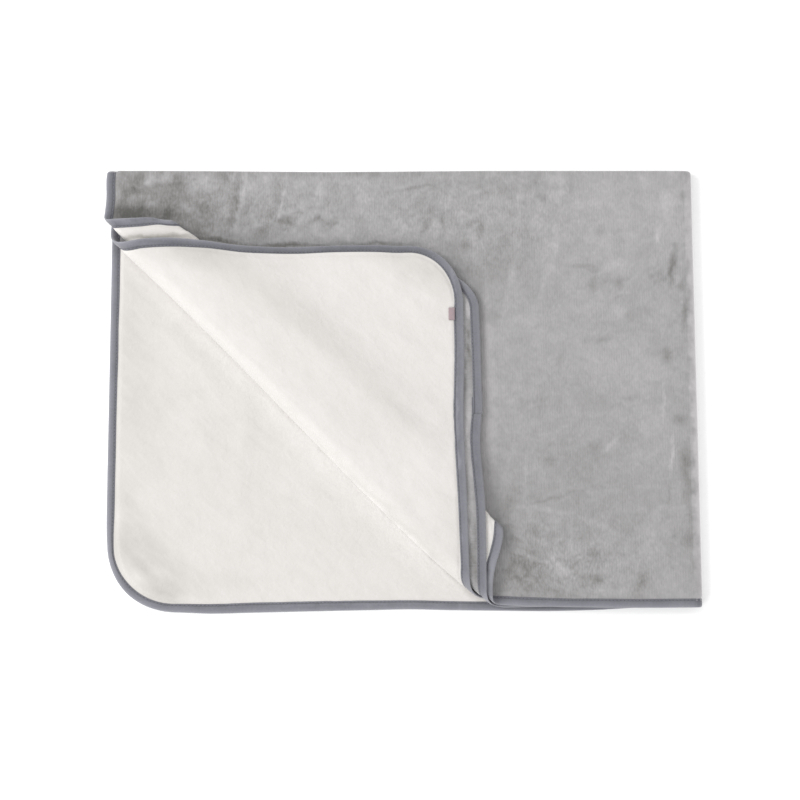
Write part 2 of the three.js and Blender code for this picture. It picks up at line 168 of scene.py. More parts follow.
# The lattice behind all the smooth unevenness, and how far each seed shifts it
NOISE_CELLS = 64
NOISE_SHIFT_U = 7.3
NOISE_SHIFT_V = 3.1

# The grid: close lines by the edge, then even ones, and close again round a fold
EDGE_LINES = [1.5, 3.5, 5.5, 7.2, 8, 8.8, 9.8, 11.3, 13.3, 16, 19, 22.5, 26.5]
GRID_PITCH = 4.6
FOLD_STEPS = 10
ROLL_STEPS = 14
TUCK_STEPS = 8

# A fold's cut keeps to the grid's own points where they lie this near to it
CUT_SNAP = 0.05

# What follows from those sizes
HALF = THICKNESS / 2
PITCH = THICKNESS + LAYER_GAP
HALF_LENGTH = LENGTH / 2
HALF_WIDTH = WIDTH / 2

TOP_FOLD = dict(centre=PITCH - LAYER_GAP / 2, arc=math.pi * PITCH / 2)
TOP_FOLD["start"] = HALF_WIDTH - TOP_FOLD["arc"] / 2
TOP_FOLD["line"] = FOLDED_DEPTH / 2 - TOP_FOLD["centre"]
RIGHT_FOLD = dict(centre=2 * PITCH - LAYER_GAP / 2, arc=math.pi * PITCH)
RIGHT_FOLD["start"] = HALF_LENGTH - RIGHT_FOLD["arc"] / 2
RIGHT_FOLD["line"] = FOLDED_LENGTH / 2 - RIGHT_FOLD["centre"]
TUCK = dict(centre=4 * PITCH - LAYER_GAP / 2, arc=math.pi * PITCH / 2)

ROLL_AXIS_HEIGHT = 5 * PITCH - LAYER_GAP + ROLL_CLEARANCE
ROLL_LENGTH = np.linalg.norm(ROLL_END - ROLL_START)
ALONG_ROLL = (ROLL_END - ROLL_START) / ROLL_LENGTH
ACROSS_ROLL = np.array([ALONG_ROLL[1], -ALONG_ROLL[0]])
TUCK_START = ROLL_START + ACROSS_ROLL * TUCK_AT_START
ALONG_TUCK = ALONG_ROLL + ACROSS_ROLL * (TUCK_AT_END - TUCK_AT_START) / ROLL_LENGTH
ALONG_TUCK = ALONG_TUCK / np.linalg.norm(ALONG_TUCK)
ACROSS_TUCK = np.array([ALONG_TUCK[1], -ALONG_TUCK[0]])


# The folds

def smooth_step(value, low, high):
    """0 below low, 1 above high, and a smooth rise between them."""
    t = np.clip((value - low) / (high - low), 0, 1)
    return t * t * (3 - 2 * t)


def smooth_out(table, at):
    """A smooth value between the rows of a table, by a cubic through them."""
    ats, outs = np.array(table, float).T
    last = len(ats) - 1
    before = np.maximum(np.arange(last + 1) - 1, 0)
    after = np.minimum(np.arange(last + 1) + 1, last)
    slopes = (outs[after] - outs[before]) / (ats[after] - ats[before])
    at = np.clip(at, ats[0], ats[-1])
    row = np.clip(np.searchsorted(ats, at, "right") - 1, 0, last - 1)
    step = ats[row + 1] - ats[row]
    t = (at - ats[row]) / step
    low = outs[row] * (1 + 2 * t) * (1 - t) ** 2 + slopes[row] * step * t * (1 - t) ** 2
    high = outs[row + 1] * t * t * (3 - 2 * t) - slopes[row + 1] * step * t * t * (1 - t)
    return low + high


def noise(u, v, size, seed):
    """Smooth unevenness from -1 to 1, with its bumps about one size apart."""
    lattice = np.random.default_rng(seed).uniform(-1, 1, (NOISE_CELLS, NOISE_CELLS))
    at_u = np.asarray(u) / size + seed * NOISE_SHIFT_U
    at_v = np.asarray(v) / size + seed * NOISE_SHIFT_V
    i, j = np.floor(at_u).astype(int), np.floor(at_v).astype(int)
    s, t = smooth_step(at_u - i, 0, 1), smooth_step(at_v - j, 0, 1)
    i, next_i = i % NOISE_CELLS, (i + 1) % NOISE_CELLS
    j, next_j = j % NOISE_CELLS, (j + 1) % NOISE_CELLS
    near = lattice[i, j] * (1 - s) + lattice[next_i, j] * s
    far = lattice[i, next_j] * (1 - s) + lattice[next_i, next_j] * s
    return near * (1 - t) + far * t


def near_edge(distance):
    """1 at an edge, falling smoothly to 0 where the edge's unevenness ends."""
    return 1 - smooth_step(distance, 0, EDGE_REACH)


def uneven_flat(u, v):
    """The flat blanket with its uneven edges."""
    left = smooth_out(LEFT_EDGE, v) * near_edge(u)
    right = smooth_out(RIGHT_EDGE, v) * near_edge(LENGTH - u)
    near = smooth_out(NEAR_EDGE, u) * near_edge(v)
    far = smooth_out(FAR_EDGE, u) * near_edge(WIDTH - v)
    return u - left + right, v - near + far


def bend(along, height, fold):
    """A fold: points past its start go round a half circle and back."""
    past = along - fold["start"]
    radius = fold["centre"] - height
    angle = np.pi * np.clip(past / fold["arc"], 0, 1)
    reach = np.where(past < 0, past, radius * np.sin(angle) - np.maximum(past - fold["arc"], 0))
    return fold["line"] + reach, fold["centre"] - radius * np.cos(angle)


def layers_of(u, v):
    """True where a flat point is in each of the three upper layers."""
    right, far = u >= HALF_LENGTH, v >= HALF_WIDTH
    return dict(first=right & ~far, second=right & far, third=~right & far)


def tuck_corner(x, y, z):
    """The uppermost corner folded over on top of its own layer, and drawn in at its ends."""
    from_x, from_y = x - TUCK_START[0], y - TUCK_START[1]
    past = from_x * ACROSS_TUCK[0] + from_y * ACROSS_TUCK[1]
    along = from_x * ALONG_TUCK[0] + from_y * ALONG_TUCK[1]
    radius = TUCK["centre"] - z
    angle = np.pi * np.clip(past / TUCK["arc"], 0, 1)
    reach = radius * np.sin(angle) - np.maximum(past - TUCK["arc"], 0)
    move = np.where(past > 0, reach - past, 0)
    move = move - smooth_out(TUCK_ENDS, along) * np.exp(-((past / TUCK_ENDS_REACH) ** 2))
    turned = np.where(past > 0, TUCK["centre"] - radius * np.cos(angle), z)
    return x + move * ACROSS_TUCK[0], y + move * ACROSS_TUCK[1], turned


def roll_back(x, y, z, layer):
    """A layer's corner rolled back on its own radius."""
    roll = ROLLS[layer]
    from_x, from_y = x - ROLL_START[0], y - ROLL_START[1]
    across = from_x * ACROSS_ROLL[0] + from_y * ACROSS_ROLL[1]
    along = from_x * ALONG_ROLL[0] + from_y * ALONG_ROLL[1]
    width = smooth_out(roll["width"], along)
    radius = ROLL_AXIS_HEIGHT - z
    angle = np.pi * np.clip(across / roll["spent"], 0, 1)
    beyond = np.maximum(across - roll["spent"], 0)
    sunk = 0 if layer == "first" else smooth_out(SINK, beyond)
    moved = np.where(across > 0, width * radius * np.sin(angle) - beyond, across)
    turned = np.where(across > 0, ROLL_AXIS_HEIGHT - radius * np.cos(angle) - sunk, z)
    rolled_x = ROLL_START[0] + moved * ACROSS_ROLL[0] + along * ALONG_ROLL[0]
    rolled_y = ROLL_START[1] + moved * ACROSS_ROLL[1] + along * ALONG_ROLL[1]
    return rolled_x, rolled_y, turned


def creases_at(x, y):
    """How far the creases lift the cloth, at places in the plan."""
    x = x + CREASE_WANDER * noise(x, y, CREASE_WAVE, 3)
    y = y + CREASE_WANDER * noise(x, y, CREASE_WAVE, 4)
    lift = np.zeros_like(x)
    for row in CREASES:
        crease = dict(zip(CREASE_COLUMNS, row))
        from_x, from_y = x - crease["from_x"], y - crease["from_y"]
        way_x = crease["to_x"] - crease["from_x"]
        way_y = crease["to_y"] - crease["from_y"]
        share = np.clip((from_x * way_x + from_y * way_y) / (way_x**2 + way_y**2), 0, 1)
        distance = np.hypot(from_x - share * way_x, from_y - share * way_y)
        lift += crease["height"] * np.exp(-((distance / crease["reach"]) ** 2))
    return lift


def settle(x, y, z):
    """The cloth as it has settled: upper layers swollen a little, creases in all that lies
    over the lowest face, the top fold sagging, and the right fold slanting outwards as it
    comes down."""
    swollen = np.clip((z - THICKNESS) / (3 * PITCH - THICKNESS), 0, 1)
    waves = 0.5 + np.cos(2 * np.pi * x / SWELL_LENGTH) / 4 + np.cos(2 * np.pi * y / SWELL_LENGTH) / 4
    slanted = x - RIGHT_FOLD_SLANT * (0.5 + y / FOLDED_DEPTH) * (0.5 + x / FOLDED_LENGTH)
    lift = SWELL_HEIGHT * swollen * waves + creases_at(slanted, y) * np.clip(z / THICKNESS, 0, 1)
    sagging = y - smooth_out(TOP_SAG, slanted) * np.clip(0.5 + y / FOLDED_DEPTH, 0, None) ** 2
    return slanted, sagging, z + lift


def folded(u, v, w):
    """Flat points of the blanket, at heights w from its middle surface, where they lie."""
    flat_u, flat_v = uneven_flat(u, v)
    y, height = bend(flat_v, HALF + w, TOP_FOLD)
    x, z = bend(flat_u, height, RIGHT_FOLD)
    for layer, inside in layers_of(u, v).items():
        part = (x[inside], y[inside], z[inside])
        if layer == "first":
            part = tuck_corner(*part)
        x[inside], y[inside], z[inside] = roll_back(*part, layer)
    return np.stack(settle(x, y, z), axis=-1) + CENTRE_SHIFT


# The flat cut, on a grid that follows the folds

def inset_of(u, v):
    """How far inside the outline flat points are."""
    past_u = u - np.clip(u, CORNER_RADIUS, LENGTH - CORNER_RADIUS)
    past_v = v - np.clip(v, CORNER_RADIUS, WIDTH - CORNER_RADIUS)
    return CORNER_RADIUS - np.hypot(past_u, past_v)


def grid_lines(size, fold):
    """Places of the grid's lines across the blanket."""
    steps = round((fold["start"] - EDGE_LINES[-1]) / GRID_PITCH)
    even = np.linspace(EDGE_LINES[-1], fold["start"], steps + 1)
    half = np.concatenate([EDGE_LINES[:-1], even])
    turn = np.linspace(fold["start"], fold["start"] + fold["arc"], FOLD_STEPS + 1)[1:-1]
    return np.concatenate([half, turn, size - half[::-1]])


def round_corners(p, q):
    """Carries a plain rectangle's grid onto the one with round corners."""
    centre_u = np.clip(p, CORNER_RADIUS, LENGTH - CORNER_RADIUS)
    centre_v = np.clip(q, CORNER_RADIUS, WIDTH - CORNER_RADIUS)
    a, b = np.abs(p - centre_u), np.abs(q - centre_v)
    most, least = np.maximum(a, b), np.minimum(a, b)
    turn = np.pi / 4 * least / np.maximum(most, 1e-9)
    far, side = most * np.cos(turn), most * np.sin(turn)
    u = centre_u + np.sign(p - centre_u) * np.where(a >= b, far, side)
    v = centre_v + np.sign(q - centre_v) * np.where(a >= b, side, far)
    return u, v


def plan_frame(layer):
    """A layer's place in the folded plan: x = origin + sign * uneven u, and y alike."""
    u_end, v_end = RIGHT_FOLD["start"], TOP_FOLD["start"]
    if layer == "third":
        x_from, x_sign = RIGHT_FOLD["line"] - u_end, 1
    else:
        x_from, x_sign = RIGHT_FOLD["line"] + u_end + RIGHT_FOLD["arc"], -1
    if layer == "first":
        y_from, y_sign = TOP_FOLD["line"] - v_end, 1
    else:
        y_from, y_sign = TOP_FOLD["line"] + v_end + TOP_FOLD["arc"], -1
    return np.array([x_from, y_from]), np.array([x_sign, y_sign])


def cut_line(bm, geometry, layer, point, normal):
    """Cuts a layer's faces along a straight line of the folded plan."""
    origin, sign = plan_frame(layer)
    at = (point - origin) / sign
    bmesh.ops.bisect_plane(
        bm, geom=geometry, dist=CUT_SNAP,
        plane_co=(at[0], at[1], 0), plane_no=(normal[0] * sign[0], normal[1] * sign[1], 0),
    )


def faces_of(bm, layer, side=0):
    """A layer's faces, with their edges and corners: all of them, or, by the sign of the side,
    only the ones past the tuck's start or before its end."""
    origin, sign = plan_frame(layer)
    names = {(True, False): "first", (True, True): "second", (False, True): "third"}
    faces = []
    for face in bm.faces:
        centre = face.calc_center_median()
        if names.get((centre.x >= HALF_LENGTH, centre.y >= HALF_WIDTH)) != layer:
            continue
        past = (origin + sign * np.array([centre.x, centre.y]) - TUCK_START) @ ACROSS_TUCK
        if side > 0 and past < 0:
            continue
        if side < 0 and past > TUCK["arc"]:
            continue
        faces.append(face)
    edges = {edge for face in faces for edge in face.edges}
    corners = {corner for face in faces for corner in face.verts}
    return [*faces, *edges, *corners]


def cut_folds(bm):
    """Lines along the rolls and the tuck, so that the grid turns cleanly round them."""
    for layer in ("third", "second"):
        for past in np.linspace(0, ROLLS[layer]["spent"], ROLL_STEPS + 1):
            cut_line(bm, faces_of(bm, layer), layer, ROLL_START + past * ACROSS_ROLL, ACROSS_ROLL)
    for past in np.linspace(0, TUCK["arc"], TUCK_STEPS + 1):
        cut_line(bm, faces_of(bm, "first"), "first", TUCK_START + past * ACROSS_TUCK, ACROSS_TUCK)
    turned = ACROSS_ROLL - 2 * (ACROSS_ROLL @ ACROSS_TUCK) * ACROSS_TUCK
    mirror = TUCK_START + TUCK["arc"] / 2 * ACROSS_TUCK
    for past in np.linspace(0, ROLLS["first"]["spent"], ROLL_STEPS + 1):
        at = ROLL_START + past * ACROSS_ROLL
        cut_line(bm, faces_of(bm, "first", side=-1), "first", at, ACROSS_ROLL)
        at = at - 2 * ((at - mirror) @ ACROSS_TUCK) * ACROSS_TUCK
        cut_line(bm, faces_of(bm, "first", side=1), "first", at, turned)


def cut_mesh(faces, **values):
    """A flat mesh cut along the folds. Its points' values, with u and v among them, are kept at
    the old points and worked out at the new ones. Gives the values, the faces and the rim."""
    flat_u, flat_v = uneven_flat(values["u"], values["v"])
    heights = values.get("w", np.zeros(len(flat_u)))
    mesh = bpy.data.meshes.new("flat")
    mesh.from_pydata(np.stack([flat_u, flat_v, heights], axis=-1).tolist(), [], faces)
    for name, numbers in values.items():
        layer = mesh.attributes.new(name, "FLOAT", "POINT")
        layer.data.foreach_set("value", numbers)
    bm = bmesh.new()
    bm.from_mesh(mesh)
    bpy.data.meshes.remove(mesh)
    cut_folds(bm)
    bmesh.ops.triangulate(bm, faces=[face for face in bm.faces if len(face.verts) > 4])
    bm.verts.index_update()
    layers = {name: bm.verts.layers.float[name] for name in values}
    kept = {name: np.array([vert[layer] for vert in bm.verts]) for name, layer in layers.items()}
    faces = [[vert.index for vert in face.verts] for face in bm.faces]
    loops = [edge.link_loops[0] for edge in bm.edges if edge.is_boundary]
    rim = [(loop.vert.index, loop.link_loop_next.vert.index) for loop in loops]
    bm.free()
    return kept, faces, rim


def grid_faces(index):
    """The four-sided faces between the rows and columns of a grid of point numbers."""
    corners = [index[:-1, :-1], index[1:, :-1], index[1:, 1:], index[:-1, 1:]]
    return np.stack(corners, axis=-1).reshape(-1, 4).tolist()


def flat_cut():
    """The blanket's flat cut as a fine mesh."""
    p, q = np.meshgrid(grid_lines(LENGTH, RIGHT_FOLD), grid_lines(WIDTH, TOP_FOLD), indexing="ij")
    u, v = round_corners(p, q)
    index = np.arange(u.size).reshape(u.shape)
    return cut_mesh(grid_faces(index), u=u.ravel(), v=v.ravel())


def tube_faces(index):
    """The faces of a tube with closed ends, from the point numbers of its rings."""
    sides = grid_faces(np.concatenate([index, index[:, :1]], axis=1)[:, ::-1])
    return [*sides, index[0, ::-1].tolist(), index[-1].tolist()]


def add_object(name, data):
    """An object in the scene."""
    obj = bpy.data.objects.new(name, data)
    bpy.context.scene.collection.objects.link(obj)
    return obj


def new_object(name, points, faces, flat):
    """A smooth-shaded object from points in millimetres, with nothing below the floor. Its two
    UV maps hold the points' places on the flat cloth and in the plan from above."""
    points[:, 2] = np.maximum(points[:, 2], 0)
    mesh = bpy.data.meshes.new(name)
    mesh.from_pydata((points * MM).tolist(), [], faces)
    corners = np.empty(len(mesh.loops), int)
    mesh.loops.foreach_get("vertex_index", corners)
    for map_name, places in (("flat", flat), ("plan", points[:, :2])):
        layer = mesh.uv_layers.new(name=map_name)
        layer.data.foreach_set("uv", (places[corners] * MM).ravel())
    mesh.polygons.foreach_set("use_smooth", [True] * len(mesh.polygons))
    mesh.update()
    return add_object(name, mesh)


# The two fabrics: pressed thin under the tape, with full pile past it

PRESSED = 0.55
PILE_START = 8.1
PILE_FULL = 10
PILE_EDGE_WANDER = 0.6
PILE_EDGE_WAVE = 5
FLEECE_LUMPS = [dict(size=13, height=0.12, seed=1), dict(size=7, height=0.07, seed=2)]
VELOUR_LUMPS = [dict(size=16, height=0.06, seed=5)]


def lumps(u, v, table):
    """Low soft unevenness of a pile."""
    return sum(row["height"] * noise(u, v, row["size"], row["seed"]) for row in table)


def pile_share(u, v):
    """0 where the tape presses the pile flat, and 1 where it stands full."""
    inset = inset_of(u, v) + PILE_EDGE_WANDER * noise(u, v, PILE_EDGE_WAVE, 6)
    return smooth_step(inset, PILE_START, PILE_FULL)


def velour_heights(u, v):
    """The velour's outer and inner face."""
    share = pile_share(u, v)
    inner = PIECE_GAP / 2 + (HALF - VELOUR_THICKNESS - PIECE_GAP / 2) * share
    depth = PRESSED + (VELOUR_THICKNESS - PRESSED + lumps(u, v, VELOUR_LUMPS)) * share
    return -inner - depth, -inner


def sherpa_heights(u, v):
    """The fleece's inner and outer face."""
    share = pile_share(u, v)
    inner = PIECE_GAP / 2 + (VELOUR_THICKNESS - HALF) * share
    full = HALF + lumps(u, v, FLEECE_LUMPS)
    return inner, PIECE_GAP / 2 + PRESSED + (full - PIECE_GAP / 2 - PRESSED) * share


def cloth(name, cut, heights):
    """One fabric between two heights of the blanket's thickness."""
    values, faces, rim = cut
    u, v = values["u"], values["v"]
    low, high = heights(u, v)
    count = len(u)
    points = np.concatenate([folded(u, v, high), folded(u, v, low)])
    under = [[corner + count for corner in reversed(face)] for face in faces]
    wall = [[b, a, a + count, b + count] for a, b in rim]
    flat = np.tile(np.stack([u, v], axis=-1), (2, 1))
    return new_object(name, points, [*faces, *under, *wall], flat)


# The tape: one strip folded over the edge, from the lap of its ends round to it again

LAP_PLACE = 864
LAP_LENGTH = 14
LAP_RISE = 0.46
LAP_RAMP = 8
TAPE_PITCH = 2.4
LIP_WANDER = 0.3
LIP_WAVE = 26

# How much wider the tape is, by the distance along the edge from the lap: wider at the lap
# and down the turned-back corner, and narrow on the lowest layer's left and at the tucks
LIP_WIDER = [
    (0, 1), (60, 1), (110, 0.2), (540, 0), (590, -0.2), (640, -0.1), (680, 0.5), (714, 1.2),
    (775, 1), (805, 0.5), (825, -0.5), (850, -1), (890, -1.8), (1050, -2), (1085, -0.7),
    (1110, 0), (1200, 0), (1290, -0.4), (1400, -0.9), (1510, -1.3), (1545, -2.4), (1578, -1.2),
    (1610, -0.7), (1650, 0.4), (1700, 0.8), (1780, 0.7), (1820, 0), (2240, 0), (2268, 1),
    (2290, 1), (2301, 0.9), (2311, -0.4), (2324, -3), (2345, -1.5), (2370, 0), (2770, 0),
    (2800, -3), (2818, -2.6), (2840, -0.6), (2860, 0),
]

# Its section on one face, from the lip to the fold: how far inside the edge, how high over
# the middle surface, and how light the tape is painted there, with painted shade in the seam's
# groove and a painted highlight rising to the round nose
TAPE_SKIN = [
    (7.7, 0.7, 0.1), (7.75, 0.92, 0.2), (7.4, 1.1, 0.35), (6.95, 1.08, 0.25), (6.45, 0.78, -0.6),
    (5.95, 1.07, 0.2), (5.2, 1.28, 0.38), (3.8, 1.4, 0.46), (2.3, 1.36, 0.58), (1.2, 1.16, 0.75),
    (0.5, 0.8, 0.95), (0.12, 0.4, 1.05), (0, 0, 1.05),
]

# The face inside its fold, by the same first two columns
TAPE_INSIDE = [(0.7, 0), (0.9, 0.5), (1.4, 0.8), (4, 0.92), (6.3, 0.77)]

# How far in from the edge its round nose ends, and its part by the lip starts and ends
NOSE_END = 2.5
LIP_START = 3
LIP_END = 7.5

# The seam's stitches
STITCH_INSET = 6.5
STITCH_HEIGHT = 0.9
STITCH_PITCH = 3.2
STITCH_RADIUS = 0.21
STITCH_SIDES = 5

# The rings of one stitch: the place along it, the share of its radius, and the lift
STITCH_RINGS = [(-1.3, 0.3, -0.22), (-0.95, 0.9, 0), (0, 1, 0.08), (0.95, 0.9, 0), (1.3, 0.3, -0.22)]


def outline_table():
    """The way round the blanket's edge from the lap: each row has the distance so far, a point
    one corner radius inside the edge, and the direction out of it in degrees."""
    right, far = LENGTH - CORNER_RADIUS, WIDTH - CORNER_RADIUS
    near = left = CORNER_RADIUS
    rows = [(0, LAP_PLACE, far, 90)]
    for corner in ((left, far), (left, near), (right, near), (right, far)):
        distance, u, v, angle = rows[-1]
        distance += np.hypot(corner[0] - u, corner[1] - v)
        rows.append((distance, *corner, angle))
        rows.append((distance + CORNER_RADIUS * np.pi / 2, *corner, angle + 90))
    rows.append((rows[-1][0] + right - LAP_PLACE, LAP_PLACE, far, rows[-1][3]))
    return np.array(rows)


OUTLINE = outline_table()
PERIMETER = OUTLINE[-1, 0]


def by_the_edge(distance, inset):
    """Flat places at distances along the edge and inside it."""
    distance = distance % PERIMETER
    u, v, angle = [np.interp(distance, OUTLINE[:, 0], column) for column in OUTLINE[:, 1:].T]
    reach = CORNER_RADIUS - inset
    return u + reach * np.cos(np.radians(angle)), v + reach * np.sin(np.radians(angle))


def lip_shift(along):
    """How much further in than usual the tape's lips lie, at distances along the edge."""
    return LIP_WANDER * noise(along, 0 * along, LIP_WAVE, 7) + smooth_out(LIP_WIDER, along)


def tape_ring():
    """The tape's whole section as a closed ring, with its tones of painted light and shade and the
    way across it.
    """
    upper = TAPE_SKIN
    lower = [(inset, -height, tone) for inset, height, tone in reversed(TAPE_SKIN[:-1])]
    inside = [(inset, -height, 0) for inset, height in reversed(TAPE_INSIDE[1:])]
    inside += [(inset, height, 0) for inset, height in TAPE_INSIDE]
    inset, height, tone = np.array([*upper, *lower, *inside]).T
    across = np.concatenate([[0], np.cumsum(np.hypot(np.diff(inset), np.diff(height)))])
    return inset, height, tone, across


def tape():
    """The tape, with its last end lapped over its first."""
    inset, height, tone, across = tape_ring()
    whole = PERIMETER + LAP_LENGTH
    along = np.linspace(0, whole, round(whole / TAPE_PITCH) + 1)[:, None]
    on_top = smooth_step(along, PERIMETER - LAP_RAMP, PERIMETER)
    at_nose = 1 - smooth_step(inset, 0, NOSE_END)
    at_lip = smooth_step(inset, LIP_START, LIP_END)
    insets = inset + lip_shift(along) * at_lip - on_top * LAP_RISE * at_nose
    heights = height + np.sign(height) * on_top * LAP_RISE * (1 - at_nose)
    u, v = by_the_edge(along + 0 * insets, insets)
    faces = tube_faces(np.arange(u.size).reshape(u.shape))
    grid = dict(u=u, v=v, w=heights, tone=tone, along=along, across=across)
    values = {name: np.broadcast_to(numbers, u.shape).ravel() for name, numbers in grid.items()}
    kept, faces, _ = cut_mesh(faces, **values)
    points = folded(kept["u"], kept["v"], kept["w"])
    flat = np.stack([kept["across"], kept["along"]], axis=-1)
    piece = new_object("edge_tape_ring", points, faces, flat)
    # The tone at each point is painted light and shade: a highlight on the nose, shade in the seam's
    # groove
    tones = piece.data.attributes.new("tone", "FLOAT", "POINT")
    tones.data.foreach_set("value", kept["tone"])
    return piece


def stitches():
    """The thread of the tape's seam on both faces, one short stitch after another."""
    middles = np.arange(LAP_LENGTH, PERIMETER - STITCH_PITCH, STITCH_PITCH)
    along, radius, lift = np.array(STITCH_RINGS).T
    turn = 2 * np.pi * np.arange(STITCH_SIDES) / STITCH_SIDES
    aside = STITCH_RADIUS * radius[:, None] * np.cos(turn)
    up = STITCH_RADIUS * radius[:, None] * np.sin(turn)
    side = np.array([1, -1])[:, None, None, None]
    shape = (2, len(middles), *aside.shape)
    distance = np.broadcast_to(middles[:, None, None] + along[:, None], shape)
    u, v = by_the_edge(distance, STITCH_INSET + lip_shift(distance) + aside)
    w = np.broadcast_to(side * (STITCH_HEIGHT + lift[:, None]) + up, shape)
    points = folded(u.ravel(), v.ravel(), w.ravel())
    index = np.arange(u.size).reshape(shape)
    faces = []
    for stitch in index.reshape(-1, *aside.shape):
        faces += tube_faces(stitch)
    flat = np.stack([distance.ravel(), w.ravel()], axis=-1)
    return new_object("seam_stitches", points, faces, flat)


# The label: a bare ribbon tab, folded once

LABEL_FROM = 53.7
LABEL_TO = 63.7
LABEL_STEPS = 12

# The height between its two faces
LABEL_MIDDLE = 1.9

# Its thicker sides, by the share of its half width, and their rise
SELVAGE_START = 0.75
SELVAGE_FULL = 0.95
SELVAGE_RISE = 0.07

# Its section, out to its fold and back: how far inside the blanket's edge, and how high
LABEL_RING = [
    (7.7, 1.5), (8.4, 1.72), (10, 1.82), (12.3, 1.8), (13.1, 1.78), (13.32, 1.95),
    (13.1, 2.14), (12.3, 2.24), (10, 2.3), (8.4, 2.18), (7.7, 1.9),
]


def label():
    """The bare side label, sewn under the tape's lip."""
    inset, height = np.array(LABEL_RING).T
    u = np.linspace(LABEL_FROM, LABEL_TO, LABEL_STEPS + 1)[:, None]
    edge = np.abs(u - (LABEL_FROM + LABEL_TO) / 2) * 2 / (LABEL_TO - LABEL_FROM)
    thicker = SELVAGE_RISE * smooth_step(edge, SELVAGE_START, SELVAGE_FULL)
    w = height + thicker * np.sign(height - LABEL_MIDDLE)
    u = np.broadcast_to(u, w.shape)
    v = np.broadcast_to(WIDTH - inset, w.shape)
    faces = tube_faces(np.arange(u.size).reshape(u.shape)[:, ::-1])
    points = folded(u.ravel(), v.ravel(), w.ravel())
    flat = np.stack([u.ravel(), v.ravel()], axis=-1)
    return new_object("side_label_tab", points, faces, flat)


# The materials

# The strokes, in the plan from above: the middle of each, how long and wide it is,
# how far it is turned in degrees, and how much lighter or darker the cloth is there
STROKE_COLUMNS = ("x", "y", "long", "wide", "turn", "tone")

# A stroke fades out at this share of its size from its middle, where it is this many times
# its tone
STROKE_REACH = 0.75
STROKE_STRENGTH = 1.3
